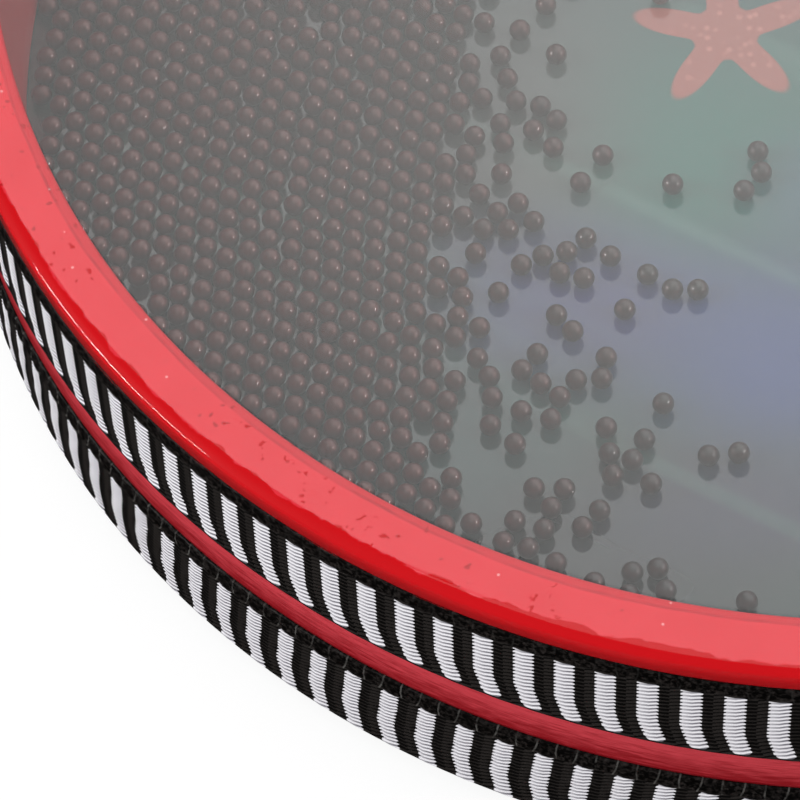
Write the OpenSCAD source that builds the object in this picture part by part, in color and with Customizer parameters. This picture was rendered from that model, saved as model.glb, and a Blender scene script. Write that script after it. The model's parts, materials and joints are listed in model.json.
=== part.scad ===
// Ocean drum: a shallow bent-wood hoop with a clear film head on top, a printed film head below,
// a woven braid over the edge of each head, and loose steel shot that rolls on the lower head.
// Millimetres, +Z up. The origin is the centre of the underside, where the drum rests.

/* [Drum] */
// Overall diameter, over the braids
drum_d = 305; // [200:1:410]
// Overall height, over both heads
drum_h = 60; // [52:1:90]

/* [Hoop] */
// Wall thickness of the bent wooden hoop
hoop_wall = 9; // [6:0.5:14]
// Rounding of the hoop's outer edges, which the heads are folded over
edge_r = 4; // [2:0.5:5]
// Rounding of the hoop's inner edges
inner_edge_r = 1.2; // [0.5:0.1:2.5]
// Width of the fine scarf line where the ends of the bent strip are glued together
scarf_line = 0.4; // [0.2:0.1:1]
// Depth of the scarf line in the hoop's face
scarf_depth = 0.3; // [0.2:0.1:1]
// How far the scarf line leans sideways over the height of the bare strip
scarf_lean = 12; // [4:1:24]

/* [Heads] */
// Thickness of the polyester film of both heads
head_t = 0.3; // [0.2:0.05:0.6]
// Length of film that is folded down the hoop's side, under the braid
head_skirt = 14; // [8:1:18]
// Thickness of the glue under the heads and the braids
glue_t = 0.05; // [0.03:0.01:0.1]

/* [Braids] */
// Width of the woven braid
braid_w = 21; // [16:0.5:22]
// Thickness of the woven braid
braid_t = 1.2; // [0.8:0.1:2]
// Height of folded film left bare between the head's face and the braid
shoulder_h = 4.8; // [4.6:0.1:7]
// Rounding of the braid's selvedges
selvedge_r = 0.5; // [0.2:0.05:0.6]
// Gap where the two ends of a braid meet
braid_seam = 0.6; // [0.3:0.1:2]

/* [Shot] */
// Diameter of one steel ball
shot_d = 3.6; // [2.5:0.1:4.5]
// Mean gap between balls that lie side by side
shot_gap = 0.5; // [0.45:0.05:1]
// Least gap between two balls that rolled up to each other
ball_gap = 0.2; // [0.1:0.05:0.4]
// Clearance under a ball and between a ball and the hoop
shot_clear = 0.25; // [0.2:0.05:0.5]
// How far the balls are shaken out of an even packing before they settle
shot_shake = 1.15; // [0:0.05:1.3]

/* [Hidden] */

// Facets of the turned parts and of one ball, and steps of the shot's settling
turn_fn = 180;
ball_fn = 32;
settle_steps = 24;

// Radii, from the outside in
braid_in_r = drum_d / 2 - braid_t;
film_r = braid_in_r - glue_t;
hoop_r = film_r - head_t - glue_t;
bore_r = hoop_r - hoop_wall;

// Heights of the hoop's faces, between the heads
hoop_low = head_t + glue_t;
hoop_high = drum_h - head_t - glue_t;
hoop_mid = drum_h / 2;
strip_h = drum_h - 2 * (shoulder_h + braid_w);

// Length of overrun that lets a cut pass clear of a face
overrun = 1 * head_t;

// Sides of the drum: braid ends meet a little apart on the far side
seam_angle = 90;
scarf_angle = 78;
braid_seam_angle = braid_seam / braid_in_r * 180 / PI;

// Packing of the shot
pitch = shot_d + shot_gap;
row_h = pitch * sqrt(3) / 2;
ball_z = head_t + shot_clear + shot_d / 2;
roll_r = bore_r - shot_clear - shot_d / 2;
least = shot_d + ball_gap;

// The bank's packing: its middle as shares of the rolling radius, and how its rows run
bank_share = [-0.73, 0];
row_turn = 86;
// How far the packing reaches across and along its rows, as shares of the rolling radius
across_share = 0.36;
along_share = 1.1;
// How far its rows bend and how close neighbours settle, as shares of the pitch
bend_share = 0.3;
settle_share = 0.965;
rim_share = 0.1;

// Free edge of the bank: how far it stands from the drum's axis, and how much it waves
shore_share = 0.445;
shore_wave_share = 0.012;
// Share of places left empty deep in the bank and at its free edge, and the depth of that edge
empty_share = 0.008;
edge_empty_share = 0.1;
thin_share = 0.14;
// How densely balls lie just off the bank's far half
spray_share = 0.3;

// Where the bank is cut into its nodes, from front to back, as shares of the rolling radius
slice_shares = [-1, -0.54, -0.36, -0.21, -0.07, 0.07, 0.21, 0.36, 0.54, 1];

// Balls that lie by themselves, as shares of the rolling radius
stray_shares = [
    [-0.31, -0.14], [-0.225, -0.18], [-0.12, -0.16], [-0.275, -0.36], [-0.19, -0.33], [-0.225, -0.49],
    [-0.135, -0.555], [-0.235, -0.6], [-0.12, -0.755], [0.34, -0.22], [0.12, 0.31], [-0.16, 0.4]];

// Balls that rolled a little way off the bank, as shares of the rolling radius
spray_shares = [
    [-0.335, -0.18], [-0.125, -0.13], [-0.14, -0.187], [-0.22, -0.33], [-0.17, -0.56],
    [-0.44, 0.003], [-0.43, -0.03], [-0.418, -0.063], [-0.388, -0.07], [-0.368, -0.09], [-0.395, -0.105],
    [-0.435, -0.097], [-0.43, -0.125], [-0.37, -0.13], [-0.43, -0.17], [-0.455, -0.2], [-0.408, -0.212],
    [-0.388, -0.238], [-0.432, -0.226], [-0.418, -0.25], [-0.448, -0.25], [-0.398, -0.268], [-0.375, -0.286],
    [-0.347, -0.28], [-0.325, -0.26], [-0.295, -0.285], [-0.455, -0.285], [-0.4, -0.3], [-0.354, -0.31],
    [-0.325, -0.317], [-0.25, -0.31], [-0.425, -0.34], [-0.355, -0.37],
    [-0.335, -0.392], [-0.445, -0.39], [-0.375, -0.425], [-0.294, -0.428], [-0.445, -0.433], [-0.392, -0.448],
    [-0.369, -0.466], [-0.328, -0.46], [-0.298, -0.457], [-0.346, -0.484], [-0.43, -0.458], [-0.425, -0.487],
    [-0.39, -0.505], [-0.355, -0.515], [-0.425, -0.525], [-0.29, -0.525], [-0.395, -0.55], [-0.285, -0.56],
    [-0.245, -0.54], [-0.258, -0.568], [-0.28, -0.59], [-0.37, -0.61], [-0.335, -0.61], [-0.349, -0.636],
    [-0.293, -0.638], [-0.312, -0.661], [-0.39, -0.655], [-0.356, -0.665], [-0.44, -0.66], [-0.402, -0.684],
    [-0.373, -0.691], [-0.34, -0.71], [-0.295, -0.735], [-0.252, -0.72], [-0.223, -0.714], [-0.255, -0.75],
    [-0.213, -0.743], [-0.34, -0.8], [-0.4, -0.77], [-0.36, -0.84], [-0.19, -0.86], [0.06, -0.9],
    [0.37, -0.24], [0.21, 0.58], [-0.21, 0.26], [-0.25, 0.1]];

// Repeatable scatter between 0 and 1
function scatter(a, b, c) =
    let (v = sin(a * 419.2 + b * 371.9 + c * 91.7 + a * b * 17.3) * 24634.6345) v - floor(v);

// Place of ball [i, j] in the bank's even packing, with its rows turned and a little bent
function turned(p, a) = [p.x * cos(a) - p.y * sin(a), p.x * sin(a) + p.y * cos(a)];
function bent(p) = p + bend_share * pitch * [sin(p.y / roll_r * 560), sin(p.x / roll_r * 610 + 40)];
function even_place(i, j) = bent(bank_share * roll_r + turned([pitch * (i + j / 2), row_h * j], row_turn));

// A place shaken to a side by up to a given length
function shaken(p, i, j, by) =
    let (a = 360 * scatter(i, j, 3), r = by * sqrt(scatter(j, i, 8))) p + [r * cos(a), r * sin(a)];

// The bank's free edge, and how far a place lies beyond it as a share of the edge's depth
function shore_x(y) = -roll_r * (shore_share
    + shore_wave_share * (sin(y / roll_r * 520) + 0.6 * sin(y / roll_r * 1330 + 70)));
function off_shore(p) = (p.x - shore_x(p.y)) / (thin_share * roll_r);

// True where a place is at least a given distance from every placed ball
function clear_of(p, placed, by) = len([for (q = placed) if (norm(q - p) < by) 1]) == 0;

// Places taken in turn, each only where it is clear of those before it
function settled(todo, placed, n = 0) = n == len(todo) ? placed
    : settled(todo, clear_of(todo[n], placed, least) ? concat(placed, [todo[n]]) : placed, n + 1);
strays = [for (q = stray_shares) q * roll_r];
loose = settled([for (q = spray_shares) q * roll_r], strays);
spray = [for (n = [len(strays) : 1 : len(loose) - 1]) loose[n]];

// The bank before it settles: rows of places, undef where there is no ball
rows = ceil(across_share * roll_r / row_h);
run = ceil(along_share * roll_r / pitch);
function filled(p, i, j) = norm(p) < roll_r + rim_share * pitch && off_shore(p) < 0
    && scatter(i, j, 9) > empty_share + edge_empty_share * max(0, 1 + off_shore(p));
poured = [for (j = [-rows : rows]) [for (i = [-run : run])
    let (p = even_place(i, j)) filled(p, i, j) ? shaken(p, i, j, shot_shake) : undef]];

// One step of settling: neighbours that lie too close push each other apart, and the hoop holds them in
beside = [[1, 0], [0, 1], [-1, 1], [1, 1], [-1, 2], [-2, 1], [-1, 0], [0, -1], [1, -1], [-1, -1], [1, -2], [2, -1]];
function push(p, q) = q == undef ? [0, 0] : let (d = norm(p - q))
    d >= settle_share * pitch ? [0, 0] : (p - q) * (settle_share * pitch / d - 1) * 0.4;
function held(p) = norm(p) > roll_r ? p * roll_r / norm(p) : p;
function step(g) = [for (j = [0 : len(g) - 1]) [for (i = [0 : len(g[j]) - 1]) let (p = g[j][i])
    p == undef ? undef : held(p + [for (k = beside) 1] * [for (k = beside) push(p, g[j + k.y][i + k.x])])]];
function settle(g, n) = n == 0 ? g : settle(step(g), n - 1);

// The bank at rest, without the few balls that stayed too close to a neighbour or to a loose ball
function crowded(g, i, j) = len([for (n = [0 : 5]) let (q = g[j + beside[n].y][i + beside[n].x])
    if (q != undef && norm(q - g[j][i]) < least) 1]) > 0;
poured_on = settle(poured, settle_steps);
bank = [for (j = [0 : 2 * rows]) for (i = [0 : 2 * run]) let (p = poured_on[j][i])
    if (p != undef && !crowded(poured_on, i, j) && clear_of(p, loose, pitch)) p];
function bank_slice(n) = [for (p = bank)
    if (p.y >= slice_shares[n] * roll_r && p.y < slice_shares[n + 1] * roll_r) p];

// Balls scattered just off the far half of the bank
off_balls = [for (j = [-rows : rows]) for (i = [-run : run]) let (q = even_place(i, j), f = off_shore(q))
    if (q.y > 0 && norm(q) < roll_r - shot_gap && f >= 0 && f < 1 && scatter(j, i, 3) < spray_share * (1 - f))
        let (p = shaken(q, i, j, shot_gap / 2)) if (clear_of(p, loose, pitch) && clear_of(p, bank, least)) p];

// Turned outlines, drawn as radius and height
module ring_outline(r_in, r_out, low, high, round_in, round_out) {
    translate([r_in + round_in, low]) square([r_out - round_out - r_in - round_in, high - low]);
    translate([r_in, low + round_in]) square([round_in + round_out, high - low - 2 * round_in]);
    translate([r_out - round_out - round_in, low + round_out]) square([round_out + round_in, high - low - 2 * round_out]);
    for (z = [low + round_in, high - round_in]) translate([r_in + round_in, z]) circle(r = round_in, $fn = 48);
    for (z = [low + round_out, high - round_out]) translate([r_out - round_out, z]) circle(r = round_out, $fn = 48);
}

module lid_outline(r, low, high, corner) {
    translate([0, low]) square([r - corner, high - low]);
    translate([0, low]) square([r, high - corner - low]);
    translate([r - corner, high - corner]) circle(r = corner, $fn = 64);
}

// Film head, folded over a rounded edge and down the side
module film_head() {
    low = drum_h - head_t - edge_r - head_skirt;
    rotate_extrude($fn = turn_fn) difference() {
        lid_outline(film_r, low, drum_h, edge_r + glue_t + head_t);
        lid_outline(film_r - head_t, low - overrun, drum_h - head_t, edge_r + glue_t);
    }
}

// Woven braid, laid round the hoop with its ends almost meeting
module braid(low) {
    rotate([0, 0, seam_angle + braid_seam_angle / 2])
        rotate_extrude(angle = 360 - braid_seam_angle, $fn = turn_fn)
            ring_outline(braid_in_r, drum_d / 2, low, low + braid_w, selvedge_r / 2, selvedge_r);
}

module ball(p) {
    translate([p.x, p.y, ball_z]) sphere(d = shot_d, $fn = ball_fn);
}

module hoop() {
    color("#a81c24") difference() {
        rotate_extrude($fn = turn_fn)
            ring_outline(bore_r, hoop_r, hoop_low, hoop_high, inner_edge_r, edge_r);
        rotate([0, 0, scarf_angle]) translate([hoop_r, 0, hoop_mid])
            rotate([atan(scarf_lean / strip_h), 0, 0])
                cube([2 * scarf_depth, scarf_line, strip_h / cos(atan(scarf_lean / strip_h))], center = true);
    }
}

module top_head() {
    color("#e8e4e2", 0.35) film_head();
}

module bottom_head() {
    color("#4f8f94") translate([0, 0, drum_h]) mirror([0, 0, 1]) film_head();
}

module top_braid() {
    color("#1b1a19") braid(drum_h - shoulder_h - braid_w);
}

module bottom_braid() {
    color("#1b1a19") braid(shoulder_h);
}

module shot_bank(n) {
    color("#4a4344") for (p = bank_slice(n)) ball(p);
}

module shot_spray() {
    color("#4a4344") {
        for (p = spray) ball(p);
        for (p = off_balls) ball(p);
    }
}

module stray(n) {
    color("#4a4344") ball(strays[n]);
}

hoop();
top_head();
bottom_head();
top_braid();
bottom_braid();
shot_bank(0);  // shot_bank_a
shot_bank(1);  // shot_bank_b
shot_bank(2);  // shot_bank_c
shot_bank(3);  // shot_bank_d
shot_bank(4);  // shot_bank_e
shot_bank(5);  // shot_bank_f
shot_bank(6);  // shot_bank_g
shot_bank(7);  // shot_bank_h
shot_bank(8);  // shot_bank_i
shot_spray();
stray(0);  // stray_a
stray(1);  // stray_b
stray(2);  // stray_c
stray(3);  // stray_d
stray(4);  // stray_e
stray(5);  // stray_f
stray(6);  // stray_g
stray(7);  // stray_h
stray(8);  // stray_i
stray(9);  // stray_j
stray(10);  // stray_k
stray(11);  // stray_l
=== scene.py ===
"""Looks of an ocean drum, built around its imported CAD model.

A bent wooden hoop in red enamel carries a clear film head on top and a printed film head below. A black
and white braid is glued over the edge of each head, and loose steel shot rolls on the lower head.
Everything is in metres, in the frame of the CAD model: +Z is up and the origin is the centre of the
underside, where the drum rests.
"""

from __future__ import annotations

import json
import logging
import math
from dataclasses import dataclass
from enum import Enum

import bmesh
import bpy
import numpy as np
from bmesh.types import BMesh
from bpy.types import Material, Mesh
from bpy.types import NodeSocket as Socket
from bpy.types import NodeTree as Tree
from mathutils import Matrix, Vector, noise

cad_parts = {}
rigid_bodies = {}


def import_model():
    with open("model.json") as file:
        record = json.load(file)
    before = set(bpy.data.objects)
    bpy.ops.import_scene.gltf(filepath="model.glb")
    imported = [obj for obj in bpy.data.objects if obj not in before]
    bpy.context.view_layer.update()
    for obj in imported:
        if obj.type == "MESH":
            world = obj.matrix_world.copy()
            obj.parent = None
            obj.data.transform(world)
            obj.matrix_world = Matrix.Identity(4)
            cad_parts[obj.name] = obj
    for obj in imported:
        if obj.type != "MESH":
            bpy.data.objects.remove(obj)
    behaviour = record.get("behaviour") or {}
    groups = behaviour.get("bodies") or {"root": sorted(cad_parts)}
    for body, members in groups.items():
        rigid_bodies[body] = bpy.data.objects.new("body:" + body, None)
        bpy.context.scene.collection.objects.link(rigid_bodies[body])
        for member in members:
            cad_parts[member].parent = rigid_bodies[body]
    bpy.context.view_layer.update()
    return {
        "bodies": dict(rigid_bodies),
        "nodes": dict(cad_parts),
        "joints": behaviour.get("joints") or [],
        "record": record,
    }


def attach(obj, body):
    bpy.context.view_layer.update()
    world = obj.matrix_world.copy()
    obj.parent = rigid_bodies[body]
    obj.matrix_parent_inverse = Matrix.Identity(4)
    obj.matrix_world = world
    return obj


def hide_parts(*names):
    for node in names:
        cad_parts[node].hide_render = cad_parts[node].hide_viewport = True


LOG = logging.getLogger("ocean drum")
MM = 0.001
MODES = {"Math": "operation", "VectorMath": "operation", "MapRange": "interpolation_type"}


class Side(Enum):
    """Which head of the drum a piece belongs to."""

    TOP = "top"
    BOTTOM = "bottom"


class Lean(Enum):
    """How a braid's blocks lie after it was pulled round the hoop.

    Each value holds the sideways shift at the upper and at the lower selvedge, in shares of the pitch.
    """

    SWEPT = (0.07, 0.21)
    BOWED = (0.3, 0.1)


def linear(hex_colour: str, alpha: float = 1.0) -> tuple[float, float, float, float]:
    """Turns an sRGB hex colour to linear values.

    Args:
        hex_colour: The colour as "#RRGGBB".
        alpha: The fourth value.

    Returns:
        Red, green, blue and alpha, ready for a colour socket.
    """
    values = []
    for start in (1, 3, 5):
        part = int(hex_colour[start : start + 2], 16) / 255
        values.append(part / 12.92 if part <= 0.04045 else ((part + 0.055) / 1.055) ** 2.4)
    return (values[0], values[1], values[2], alpha)


def put(
    tree: Tree,
    kind: str,
    *values: object,
    named: dict | None = None,
    out: int | str = 0,
    **settings: object,
) -> Socket | bpy.types.Node:
    """Adds one shader node with its settings and links.

    Args:
        tree: The node tree that the node goes into.
        kind: The node's type, without its "ShaderNode" prefix; a dot and its mode may follow.
        values: What the first inputs take, in order: a value, a socket to link from, or None to skip one.
        named: The same for other inputs, by name or number.
        out: Name or number of the output wanted back.
        settings: The node's own properties.

    Returns:
        The output socket, or the node itself where it has none.
    """
    kind, _, mode = kind.partition(".")
    made = tree.nodes.new("ShaderNode" + kind)
    if mode:
        setattr(made, MODES[kind], mode)
    for name, value in settings.items():
        setattr(made, name, value)
    for key, value in [*enumerate(values), *(named or {}).items()]:
        if isinstance(value, Socket):
            tree.links.new(value, made.inputs[key])
        elif value is not None:
            made.inputs[key].default_value = value
    return made.outputs[out] if len(made.outputs) else made


def layered(tree: Tree, base: str, layers: list[tuple]) -> Socket:
    """Lays a stack of colours over a base, each through its own mask.

    Args:
        tree: The material's nodes.
        base: The colour underneath, as "#RRGGBB".
        layers: Pairs of mask and colour, from the lowest up.

    Returns:
        The colour's socket.
    """
    colour: object = linear(base)
    for mask, over in layers:
        over = linear(over) if isinstance(over, str) else over
        colour = put(tree, "Mix", named={0: mask, 6: colour, 7: over}, out=2, data_type="RGBA")
    return colour


def new_material(name: str) -> tuple[Material, Tree]:
    """Makes an empty node material.

    Args:
        name: The material's name, after the real material.

    Returns:
        The material and its empty node tree.
    """
    material = bpy.data.materials.new(name)
    material.use_nodes = True
    material.node_tree.nodes.clear()
    return material, material.node_tree


@dataclass(frozen=True)
class DrumSizes:
    """Sizes of the drum in metres.

    The lip of the upper fold, its roundings, the wetting and the strip's rise are the scene's own. The others
    keep the names that the CAD source gives them.
    """

    drum_d: float = 305 * MM
    drum_h: float = 60 * MM
    hoop_wall: float = 9 * MM
    edge_r: float = 4 * MM
    inner_edge_r: float = 1.2 * MM
    head_t: float = 0.3 * MM
    head_skirt: float = 14 * MM
    glue_t: float = 0.05 * MM
    braid_w: float = 21 * MM
    braid_t: float = 1.2 * MM
    shoulder_h: float = 4.8 * MM
    selvedge_r: float = 0.5 * MM
    shot_d: float = 3.6 * MM
    shot_clear: float = 0.25 * MM
    lip_gap: float = 0.4 * MM
    lip_reach: float = 1.6 * MM
    lip_drop: float = 0.85 * MM
    lip_t: float = 0.12 * MM
    lip_round: float = 0.5 * MM
    slope_round: float = 0.7 * MM
    under_round: float = 0.05 * MM
    wet_in: float = 0.6 * MM
    strip_rise: float = 0.8 * MM

    @property
    def braid_in_r(self) -> float:
        """Radius of the braids' inner face."""
        return self.drum_d / 2 - self.braid_t

    @property
    def film_r(self) -> float:
        """Outer radius of the folded film."""
        return self.braid_in_r - self.glue_t

    @property
    def hoop_r(self) -> float:
        """Outer radius of the hoop."""
        return self.film_r - self.head_t - self.glue_t

    @property
    def bore_r(self) -> float:
        """Inner radius of the hoop."""
        return self.hoop_r - self.hoop_wall

    @property
    def roll_r(self) -> float:
        """Largest radius at which a ball's centre can lie."""
        return self.bore_r - self.shot_clear - self.shot_d / 2

    @property
    def corner_r(self) -> float:
        """Outer radius of the film where it folds plainly over the hoop's edge."""
        return self.edge_r + self.glue_t + self.head_t

    @property
    def lip_r(self) -> float:
        """Outer radius of the upper fold, which stands nearly flush with the braid's face."""
        return self.drum_d / 2 - self.lip_gap

    @property
    def ledge(self) -> float:
        """Height where the upper fold ends on top of the braid."""
        return self.drum_h - self.shoulder_h + self.glue_t

    @property
    def face_r(self) -> float:
        """Radius of the upper head's flat face, up to where the film starts to slope down."""
        return self.lip_r - self.lip_reach

    @property
    def wet_r(self) -> float:
        """Mean radius of the line where glue starts to wet the film onto the wood."""
        return self.face_r - self.wet_in


@dataclass(frozen=True)
class Corner:
    """One corner of a turned outline.

    Attributes:
        r: Distance from the drum's axis.
        z: Height.
        fillet: How far its rounding reaches along both sides; 0 for a sharp corner.
        steps: Segments of the rounding.
        rows: Cuts along the straight run from this corner to the next.
    """

    r: float
    z: float
    fillet: float = 0.0
    steps: int = 1
    rows: int = 0


def turned_mesh(name: str, outline: list[Corner], steps: int, ring: bool = True) -> Mesh:
    """Spins a closed outline round the drum's axis into a solid of revolution.

    Args:
        name: The mesh's name.
        outline: The corners in order, anticlockwise as seen from azimuth -90.
        steps: Steps of the spin.
        ring: False where the outline's last run lies on the axis and is left out.

    Returns:
        The mesh, closed, with its faces pointing outwards.
    """
    bm = bmesh.new()
    verts = [bm.verts.new((corner.r, 0.0, corner.z)) for corner in outline]
    bm.faces.new(verts)
    for corner in outline:
        if corner.fillet:
            round_corner(bm, corner)
    bmesh.ops.delete(bm, geom=bm.faces[:], context="FACES_ONLY")
    for start, end in zip(outline, outline[1:] + outline[:1]):
        cut_run(bm, start, end)
    if not ring:
        axis = [edge for edge in bm.edges if max(edge.verts[0].co.x, edge.verts[1].co.x) < 1e-9]
        bmesh.ops.delete(bm, geom=axis, context="EDGES")
    sectors = next(n for n in range(round(math.sqrt(steps)), 0, -1) if steps % n == 0)
    spin_round(bm, math.tau / sectors, steps // sectors, copies=False)
    spin_round(bm, math.tau * (sectors - 1) / sectors, sectors - 1, copies=True)
    bmesh.ops.remove_doubles(bm, verts=bm.verts[:], dist=MM / 1000)
    bmesh.ops.recalc_face_normals(bm, faces=bm.faces[:])
    for face in bm.faces:
        face.smooth = True
    return finished(bm, name)


def spin_round(bm: BMesh, angle: float, steps: int, copies: bool) -> None:
    """Spins all of a mesh round the drum's axis.

    Args:
        bm: The mesh, an outline or a sector that was spun before.
        angle: Angle of the spin in radians.
        steps: Its steps.
        copies: True to leave a copy at each step, False to sweep faces between them.
    """
    bmesh.ops.spin(
        bm,
        geom=bm.verts[:] + bm.edges[:] + bm.faces[:],
        cent=(0, 0, 0),
        axis=(0, 0, 1),
        angle=angle,
        steps=steps,
        use_duplicate=copies,
    )


def cut_run(bm: BMesh, start: Corner, end: Corner) -> None:
    """Cuts the straight run between two corners of an outline into rows.

    Args:
        bm: The mesh that holds the outline.
        start: The corner where the run starts, which says how many cuts.
        end: The corner where it ends.
    """
    middle = Vector(((start.r + end.r) / 2, 0.0, (start.z + end.z) / 2))
    if start.rows:
        run = min(bm.edges, key=lambda one: ((one.verts[0].co + one.verts[1].co) / 2 - middle).length)
        bmesh.ops.subdivide_edges(bm, edges=[run], cuts=start.rows)


def round_corner(bm: BMesh, corner: Corner) -> None:
    """Rounds one corner of an outline with an arc.

    Args:
        bm: The mesh that holds the outline.
        corner: The corner and its rounding.
    """
    place = Vector((corner.r, 0.0, corner.z))
    vert = min(bm.verts, key=lambda one: (one.co - place).length)
    ends = [edge.other_vert(vert).co.copy() for edge in vert.link_edges]
    here = vert.co.copy()
    ways = [(end - here).normalized() for end in ends]
    centre = here + (ways[0] + ways[1]) * (corner.fillet / (1 + ways[0].dot(ways[1])))
    start = here + ways[0] * corner.fillet
    radius = (start - centre).length
    cut = bmesh.ops.bevel(
        bm,
        geom=[vert],
        affect="VERTICES",
        offset=corner.fillet,
        offset_type="OFFSET",
        segments=corner.steps,
        profile=0.5,
        material=-1,
        clamp_overlap=False,
    )
    for made in cut["verts"]:
        made.co = centre + (made.co - centre).normalized() * radius


def finished(bm: BMesh, name: str) -> Mesh:
    """Turns a bmesh into a mesh and frees it."""
    mesh = bpy.data.meshes.new(name)
    bm.to_mesh(mesh)
    bm.free()
    return mesh


def place_piece(mesh: Mesh, body: str, node: str, finishes: list) -> bpy.types.Object:
    """Makes an object of a finished mesh, attaches it to its body and hides the CAD node that it stands for.

    Args:
        mesh: The mesh, in the frame's coordinates.
        body: The CAD body that it moves with.
        node: The CAD node that it stands for.
        finishes: Its materials, in order of their slots on the mesh.

    Returns:
        The new object.
    """
    piece = bpy.data.objects.new(mesh.name, mesh)
    bpy.context.scene.collection.objects.link(piece)
    for finish in finishes:
        mesh.materials.append(finish)
    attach(piece, body)
    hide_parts(node)
    LOG.info("%s: %d faces, stands for %s", piece.name, len(mesh.polygons), node)
    return piece


@dataclass(frozen=True)
class Place:
    """Where a pattern lies on the round drum.

    Attributes:
        tree: The material's nodes.
        point: The place in the frame.
        x, y, z: Its coordinates.
        radius: Its distance from the axis.
        angle: Its azimuth in radians.
    """

    tree: Tree
    point: Socket
    x: Socket
    y: Socket
    z: Socket
    radius: Socket
    angle: Socket


def ring_place(tree: Tree) -> Place:
    """Gives a material the place that its patterns need on a round drum."""
    point = put(tree, "TexCoord", out="Object")
    parts = put(tree, "SeparateXYZ", point).node.outputs
    flat = put(tree, "CombineXYZ", parts["X"], parts["Y"], 0.0)
    radius = put(tree, "VectorMath.LENGTH", flat, out="Value")
    angle = put(tree, "Math.ARCTAN2", parts["Y"], parts["X"])
    return Place(tree, point, parts["X"], parts["Y"], parts["Z"], radius, angle)


def wet_edge(place: Place, edge_radius: float) -> Socket:
    """Masks where the film is wetted onto the wood by glue, beyond a lobed line near the fold.

    Args:
        place: Where the pattern lies, with the material's nodes.
        edge_radius: Mean radius of the line.

    Returns:
        A mask, 1 where the glue has wetted the film.
    """
    tree = place.tree
    lobes = put(tree, "TexNoise", place.point, named={"Scale": 150.0, "Detail": 4.0, "Roughness": 0.5})
    frets = put(tree, "TexNoise", place.point, named={"Scale": 420.0, "Detail": 1.0})
    lobe, fret = 3.4 * MM, 1.2 * MM
    swing = put(tree, "Math.MULTIPLY_ADD", lobes, lobe, place.radius)
    swing = put(tree, "Math.MULTIPLY_ADD", frets, fret, swing)
    start = edge_radius + (lobe + fret) / 2
    edge = put(tree, "MapRange.SMOOTHSTEP", swing, start - 0.06 * MM, start + 0.1 * MM)
    blots = put(tree, "TexNoise", place.point, named={"Scale": 620.0, "Detail": 2.0, "Roughness": 0.6})
    spread = put(tree, "TexNoise", place.point, named={"Scale": 52.0, "Detail": 0.0})
    blots = put(tree, "Math.MULTIPLY_ADD", spread, 0.5, blots)
    blots = put(tree, "MapRange", blots, 0.985, 1.0)
    near = put(tree, "MapRange", place.radius, edge_radius - 6.6 * MM, edge_radius - 6.0 * MM)
    blots = put(tree, "Math.MULTIPLY", blots, near)
    return put(tree, "Math.MAXIMUM", edge, blots)


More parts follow.
